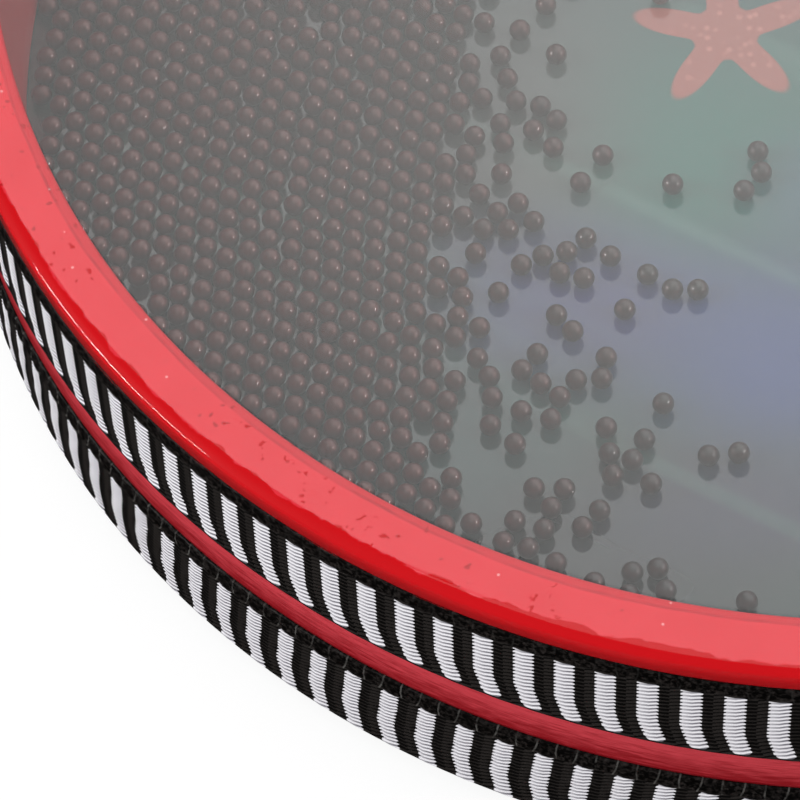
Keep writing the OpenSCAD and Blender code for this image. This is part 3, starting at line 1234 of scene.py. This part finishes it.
@dataclass
class FilmHead:
    """One film head: a flat face, a fold over the hoop's edge and a skirt under the braid.

    Attributes:
        sizes: Sizes of the drum.
        side: The side that it lies on.
        steps: Steps of its turning.
        waves, creases: Height of the fold's long waves and of its short creases.
        sink: How far the fold sinks on the whole.
        bead, bead_half, bead_up, bead_wander: Height, half width, place and wander of the bead of glue.
    """

    sizes: DrumSizes
    side: Side
    steps: int = 1440
    waves: float = 0.035 * MM
    creases: float = 0.018 * MM
    sink: float = 0.02 * MM
    bead: float = 0.34 * MM
    bead_half: float = 0.26 * MM
    bead_up: float = 0.55 * MM
    bead_wander: float = 0.2 * MM

    def build(self, node: str, slot: str, outer: Material, inner: Material) -> bpy.types.Object:
        """Turns the head, crinkling the fold of the upper one and turning the lower one upside down.

        Args:
            node: The CAD node that it stands for.
            slot: Not used.
            outer: Finish of the outer face.
            inner: Finish of the face towards the hoop.

        Returns:
            The head.
        """
        outline = self._lipped() if self.side is Side.TOP else self._plain()
        mesh = turned_mesh(f"{self.side.value}_film_head", outline, self.steps, ring=False)
        self._part_faces(mesh)
        if self.side is Side.TOP:
            self._crinkle(mesh)
        else:
            mirror = Matrix.Scale(-1, 4, (0, 0, 1))
            mesh.transform(Matrix.Translation((0, 0, self.sizes.drum_h)) @ mirror)
            mesh.flip_normals()
        return place_piece(mesh, "drum", node, [outer, inner])

    def _lipped(self) -> list[Corner]:
        """Outline of the upper head, its fold swollen by glue to a lip over the braid."""
        s = self.sizes
        top, foot = s.drum_h, s.drum_h - s.head_t - s.edge_r - s.head_skirt
        under = s.lip_r - s.lip_t
        inner_ledge = s.ledge + 0.8 * s.lip_t
        return [
            Corner(0.0, top - s.head_t),
            Corner(s.face_r, top - s.head_t, s.slope_round - s.under_round, 4),
            Corner(under, top - s.lip_drop - s.head_t, s.lip_round - s.under_round, 6),
            Corner(under, inner_ledge),
            Corner(s.film_r - s.head_t, inner_ledge),
            Corner(s.film_r - s.head_t, foot),
            Corner(s.film_r, foot),
            Corner(s.film_r, s.ledge),
            Corner(s.lip_r, s.ledge, 0.0, 1, 16),
            Corner(s.lip_r, top - s.lip_drop, s.lip_round, 9, 4),
            Corner(s.face_r, top, s.slope_round, 5),
            Corner(0.0, top),
        ]

    def _plain(self) -> list[Corner]:
        """Outline of the lower head, as the top one would lie, folded plainly over the hoop's edge."""
        s = self.sizes
        top, foot = s.drum_h, s.drum_h - s.head_t - s.edge_r - s.head_skirt
        inner = s.film_r - s.head_t
        return [
            Corner(0.0, top - s.head_t),
            Corner(inner, top - s.head_t, s.corner_r - s.head_t, 8),
            Corner(inner, foot),
            Corner(s.film_r, foot),
            Corner(s.film_r, top, s.corner_r, 10),
            Corner(0.0, top),
        ]

    def _crinkle(self, mesh: Mesh) -> None:
        """Crinkles the outer face of the fold and beads the glue along the braid's edge.

        Args:
            mesh: The upper head.
        """
        s = self.sizes
        lifts = {}
        for face in mesh.polygons:
            if face.material_index == 0:
                for number in face.vertices:
                    vert = mesh.vertices[number]
                    if vert.co.z > s.ledge and math.hypot(vert.co.x, vert.co.y) > s.face_r - 1.2 * MM:
                        lifts[number] = vert.normal * self._lift(vert.co)
        for number, lift in lifts.items():
            mesh.vertices[number].co += lift

    def _lift(self, place: Vector) -> float:
        """Height of the crinkles and of the bead of glue at one place.

        Args:
            place: The place on the fold.

        Returns:
            The height in metres.
        """
        s = self.sizes
        radius = math.hypot(place.x, place.y)
        slope = min(1.0, max(0.0, (radius - s.face_r + 1.0 * MM) / (1.6 * MM)))
        waves = noise.noise(place * 95.0) * self.waves
        creases = noise.noise(place * 520.0 + Vector((7.1, 0, 0))) * self.creases
        busy = max(0.0, noise.noise(place * 22.0 + Vector((0, 3.7, 0))) * 2.2)
        wander = noise.noise(place * 130.0 + Vector((0, 0, 9.3))) * self.bead_wander
        off = (place.z - s.ledge - self.bead_up - wander) / self.bead_half
        return slope * (waves + creases * busy - self.sink) + self.bead * math.exp(-(off**2))

    def _part_faces(self, mesh: Mesh) -> None:
        """Gives the under side of the film its own material slot.

        Args:
            mesh: The head, as the top one lies.
        """
        for face in mesh.polygons:
            middle = face.center
            out = Vector((middle.x, middle.y, 0.0)).normalized()
            face.material_index = 0 if face.normal.z + face.normal.dot(out) > 0 else 1


@dataclass
class BraidBand:
    """One woven braid, glued round the hoop over the edge of a head and drawn as a closed ring.

    Attributes:
        sizes: Sizes of the drum.
        weave: Its weave.
        rows: Cuts across its face.
        back_round: Rounding of its back corners.
        skin, blend: Thickness of its back that keeps its shape, and of the part where the relief sets in.
        nips: How far the blocks draw the upper and the lower selvedge in.
    """

    sizes: DrumSizes
    weave: Weave
    rows: int = 76
    back_round: float = 0.2 * MM
    skin: float = 0.3 * MM
    blend: float = 0.5 * MM
    nips: tuple[float, float] = (0.3 * MM, 0.1 * MM)

    def build(self, node: str, finish: Material) -> bpy.types.Object:
        """Turns the braid and works its blocks, ribs and selvedges into it.

        Args:
            node: The CAD node that it stands for.
            finish: Its weave.

        Returns:
            The braid.
        """
        s = self.sizes
        inner, outer = s.braid_in_r, s.drum_d / 2
        low, high = self.weave.high - self.weave.width, self.weave.high
        round_r = s.selvedge_r
        outline = [
            Corner(inner, low, self.back_round, 1),
            Corner(outer, low, round_r / 2, 2, self.rows),
            Corner(outer, high, round_r, 3),
            Corner(inner, high, self.back_round, 1, 2),
        ]
        mesh = turned_mesh(f"{self.weave.side.value}_woven_braid", outline, self.weave.blocks * 6)
        self._work(mesh)
        return place_piece(mesh, "drum", node, [finish])

    def _work(self, mesh: Mesh) -> None:
        """Moves the braid's outer face to the relief of its weave.

        Args:
            mesh: The turned braid.
        """
        count = len(mesh.vertices)
        flat = np.empty(count * 3)
        mesh.vertices.foreach_get("co", flat)
        points = flat.reshape(count, 3)
        radius = np.hypot(points[:, 0], points[:, 1])
        angle = np.arctan2(points[:, 1], points[:, 0])
        across = (self.weave.high - points[:, 2]) / self.weave.width
        face = np.clip((radius - self.sizes.braid_in_r - self.skin) / self.blend, 0, 1)
        sunk = self.weave.depth(angle, across) * face
        points[:, 0] *= (radius - sunk) / radius
        points[:, 1] *= (radius - sunk) / radius
        turn = angle * self.weave.blocks
        edge = np.clip(np.abs(across - 0.5) * 2 - 0.9, 0, 0.1) / 0.1
        nip = (0.5 + 0.5 * np.cos(turn)) * np.where(across < 0.5, *self.nips) * edge
        points[:, 2] += np.where(across < 0.5, -nip, nip)
        mesh.vertices.foreach_set("co", points.reshape(-1))
        mesh.update()


@dataclass
class LooseShot:
    """The steel balls, which stay the CAD's own solids and get their finish here."""

    nodes: tuple[str, ...]

    def dress(self, frame: dict, finish: Material) -> None:
        """Gives every ball node its finish.

        Args:
            frame: The loaded frame.
            finish: The steel.
        """
        for name in self.nodes:
            for slot in frame["nodes"][name].material_slots:
                slot.material = finish
            LOG.info("%s: burnished steel", name)


@dataclass
class Studio:
    """The photograph's camera, two low softboxes, a pale tent and floor, and dark flags."""

    eye: tuple[float, float, float] = (0.0, -595.4 * MM, 832.35 * MM)
    yaw: float = -0.14055
    pitch: float = 1.00113
    roll: float = -0.0958367
    lens: float = 271.4
    lamp_azimuths: tuple[float, float] = (-168.0, -12.0)
    lamp_height: float = 31.5
    lamp_distance: float = 1.25
    lamp_w: float = 0.5
    lamp_h: float = 0.12
    lamp_powers: tuple[float, float] = (5.2, 3.6)
    ambient: float = 0.8
    screen_r: float = 2.4
    screen_top: float = 8.0
    screen_from: float = 114.0
    screen_turn: float = 250.0
    table_r: float = 2.3
    flag_shade: float = 0.02

    def build(self) -> None:
        """Sets up the camera, lamps, tent, floor and flags."""
        self._camera()
        for number, azimuth in enumerate(self.lamp_azimuths):
            self._lamp(f"softbox_{number + 1}", azimuth, self.lamp_powers[number])
        self._tent()
        self._floor()
        ends = [(0.0, self.screen_r, -1.0 * MM), (0.0, self.screen_r, self.screen_top)]
        self._flag("dark_screen", ends, math.radians(self.screen_from), math.radians(self.screen_turn))
        ends = [(0.0, 0.0, -0.05 * MM), (0.0, self.table_r, -0.05 * MM)]
        self._flag("dark_table", ends, 0.0, math.tau)
        bpy.context.scene.view_settings.view_transform = "Standard"
        LOG.info("studio: camera, two softboxes, tent and floor")

    def _camera(self) -> None:
        """Places the camera at the photograph's angle."""
        yaw, pitch, roll = self.yaw, self.pitch, self.roll
        forward = Vector(
            (math.sin(yaw) * math.cos(pitch), math.cos(yaw) * math.cos(pitch), -math.sin(pitch))
        )
        level = Vector((math.cos(yaw), -math.sin(yaw), 0.0))
        above = level.cross(forward)
        right = math.cos(roll) * level + math.sin(roll) * above
        up = -math.sin(roll) * level + math.cos(roll) * above
        data = bpy.data.cameras.new("camera")
        data.lens = self.lens
        data.sensor_width = 36.0
        data.sensor_fit = "HORIZONTAL"
        data.clip_start = 0.05
        camera = bpy.data.objects.new("camera", data)
        turned = Matrix((right, up, -forward)).transposed().to_4x4()
        camera.matrix_world = Matrix.Translation(self.eye) @ turned
        bpy.context.scene.collection.objects.link(camera)
        bpy.context.scene.camera = camera

    def _lamp(self, name: str, azimuth: float, power: float) -> None:
        """Hangs one long, low softbox, facing the drum.

        Args:
            name: The lamp's name.
            azimuth: Its direction from the drum, in degrees.
            power: Its power in watts.
        """
        turn, rise = math.radians(azimuth), math.radians(self.lamp_height)
        way = Vector((math.cos(turn) * math.cos(rise), math.sin(turn) * math.cos(rise), math.sin(rise)))
        data = bpy.data.lights.new(name, "AREA")
        data.shape = "ELLIPSE"
        data.size = self.lamp_w
        data.size_y = self.lamp_h
        data.energy = power
        lamp = bpy.data.objects.new(name, data)
        lamp.location = way * self.lamp_distance
        lamp.rotation_euler = way.to_track_quat("Z", "Y").to_euler()
        bpy.context.scene.collection.objects.link(lamp)

    def _flag(self, name: str, ends: list[tuple[float, float, float]], start: float, turn: float) -> None:
        """Sets up one dark flag that only gloss sees, as a photographer keeps a wet edge dark.

        Args:
            name: The flag's name.
            ends: Both ends of the line that is spun round the drum's axis, in the YZ plane.
            start: Azimuth where it starts, in radians.
            turn: Angle that it covers, in radians.
        """
        bm = bmesh.new()
        bm.edges.new([bm.verts.new(end) for end in ends])
        bmesh.ops.rotate(bm, verts=bm.verts[:], matrix=Matrix.Rotation(start - math.pi / 2, 3, "Z"))
        spin_round(bm, turn, 64, copies=False)
        bmesh.ops.remove_doubles(bm, verts=bm.verts[:], dist=MM / 1000)
        mesh = finished(bm, name)
        material, tree = new_material(f"black velvet {name}")
        put(tree, "OutputMaterial", put(tree, "Emission", (1.0, 1.0, 1.0, 1.0), self.flag_shade))
        mesh.materials.append(material)
        card = bpy.data.objects.new(name, mesh)
        bpy.context.scene.collection.objects.link(card)
        for use in ("camera", "diffuse", "transmission", "volume_scatter", "shadow"):
            setattr(card, f"visible_{use}", False)

    def _seen(self, tree: Tree) -> Socket:
        """Masks the rays that show a surface itself: from the camera, off gloss and through glass."""
        rays = put(tree, "LightPath").node.outputs
        seen = put(tree, "Math.MAXIMUM", rays["Is Camera Ray"], rays["Is Glossy Ray"])
        return put(tree, "Math.MAXIMUM", seen, rays["Is Transmission Ray"])

    def _tent(self) -> None:
        """Surrounds the drum with a pale tent, white where it is seen directly or in a reflection."""
        world = bpy.data.worlds.new("tent")
        world.use_nodes = True
        tree = world.node_tree
        tree.nodes.clear()
        seen = self._seen(tree)
        strength = put(tree, "MapRange", seen, 0.0, 1.0, self.ambient, 1.0)
        put(tree, "OutputWorld", put(tree, "Background", (1.0, 1.0, 1.0, 1.0), strength))
        bpy.context.scene.world = world

    def _floor(self) -> None:
        """Lays a pale floor that reads white where the lamps reach it and keeps the drum's shadow."""
        bm = bmesh.new()
        bmesh.ops.create_circle(bm, cap_ends=True, segments=96, radius=3.0)
        bmesh.ops.translate(bm, verts=bm.verts[:], vec=(0, 0, -0.1 * MM))
        mesh = finished(bm, "floor")
        floor = bpy.data.objects.new("floor", mesh)
        bpy.context.scene.collection.objects.link(floor)
        material, tree = new_material("white paper")
        seen = self._seen(tree)
        share = put(tree, "Math.MULTIPLY", seen, 0.8)
        matt = put(tree, "BsdfDiffuse", linear("#F8F8F8"))
        glow = put(tree, "Emission", (1.0, 1.0, 1.0, 1.0), 1.06)
        put(tree, "OutputMaterial", put(tree, "MixShader", share, matt, glow))
        mesh.materials.append(material)


def main() -> None:
    """Dresses the drum and sets up the studio."""
    logging.basicConfig(level=logging.INFO, format="%(message)s")
    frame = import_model()
    sizes = DrumSizes()
    enamel = RedEnamel().build(sizes)
    film = ClearPolyester()
    printed = PrintedPolyester().build(sizes)
    edge = sizes.shoulder_h + sizes.braid_w
    sag = 1.0 * MM
    HoopRing(sizes, edge - sag + sizes.glue_t, sizes.drum_h - edge - sizes.glue_t).build(enamel)
    FilmHead(sizes, Side.TOP).build(
        "top_head", "clear_film", film.build(sizes, under_side=False), film.build(sizes, under_side=True)
    )
    FilmHead(sizes, Side.BOTTOM).build("bottom_head", "printed_film", printed, printed)
    width = sizes.braid_w
    high = sizes.drum_h - sizes.shoulder_h
    upper = Weave(Side.TOP, Lean.SWEPT, high, width, -143.67, 0.165, 0.97, 0.5, loop_highlight_share=0.12)
    lower = Weave(Side.BOTTOM, Lean.BOWED, edge - sag, width, -143.2, 0.186, 1.08, 0.465, loop_highlight_share=0.7)
    rayon = WovenRayon()
    BraidBand(sizes, upper).build("top_braid", rayon.build(upper))
    BraidBand(sizes, lower).build("bottom_braid", rayon.build(lower))
    shot = tuple(name for name in frame["nodes"] if name.startswith(("shot_", "stray_")))
    LooseShot(shot).dress(frame, BurnishedSteel().build())
    Studio().build()


if __name__ == "__main__":
    main()
